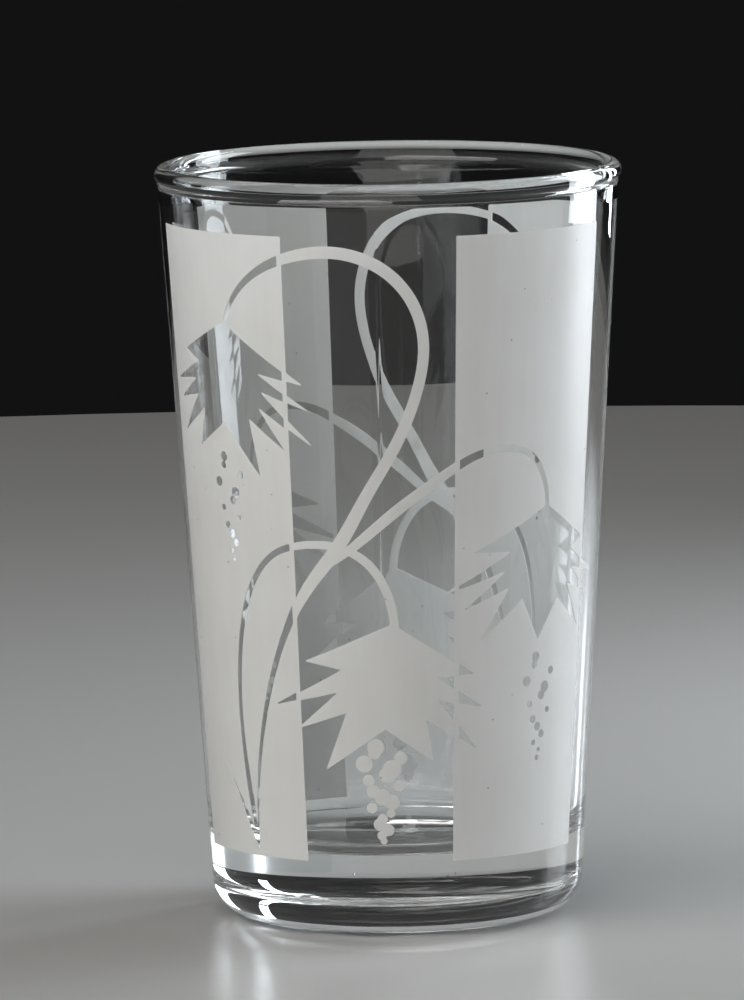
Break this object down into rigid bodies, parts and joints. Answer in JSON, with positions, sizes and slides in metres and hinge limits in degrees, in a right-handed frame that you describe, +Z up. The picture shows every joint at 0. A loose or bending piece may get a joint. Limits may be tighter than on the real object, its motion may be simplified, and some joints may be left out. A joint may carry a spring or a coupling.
{
  "type": "printed glass tumbler",
  "caption": "Tapered clear glass tumbler with a rolled rim, a thick base and a frosted white print of panels and nodding bellflowers.",
  "frame": {"origin": "centre of the foot ring, in the plane that the glass stands on", "axes": "+Z up along the axis of the glass, -Y towards the middle of the front spray, +X to the right seen from the front"},
  "size_m": [0.084, 0.084, 0.136],
  "materials": {
    "clear_glass": "clear, polished",
    "white_enamel": "fired white enamel, satin, slightly translucent"
  },
  "bodies": {
    "root": {"glass_tumbler": "clear_glass", "front_left_panel": "white_enamel", "front_right_panel": "white_enamel", "front_stems": "white_enamel", "front_low_bell": "white_enamel", "front_low_seeds": "white_enamel", "front_upper_bell_tips": "white_enamel", "front_side_bell_inner_tips": "white_enamel", "front_side_bell_outer_tips": "white_enamel", "back_left_panel": "white_enamel", "back_right_panel": "white_enamel", "back_stems": "white_enamel", "back_low_bell": "white_enamel", "back_low_seeds": "white_enamel", "back_upper_bell_tips": "white_enamel", "back_side_bell_inner_tips": "white_enamel", "back_side_bell_outer_tips": "white_enamel"}
  },
  "joints": []
}
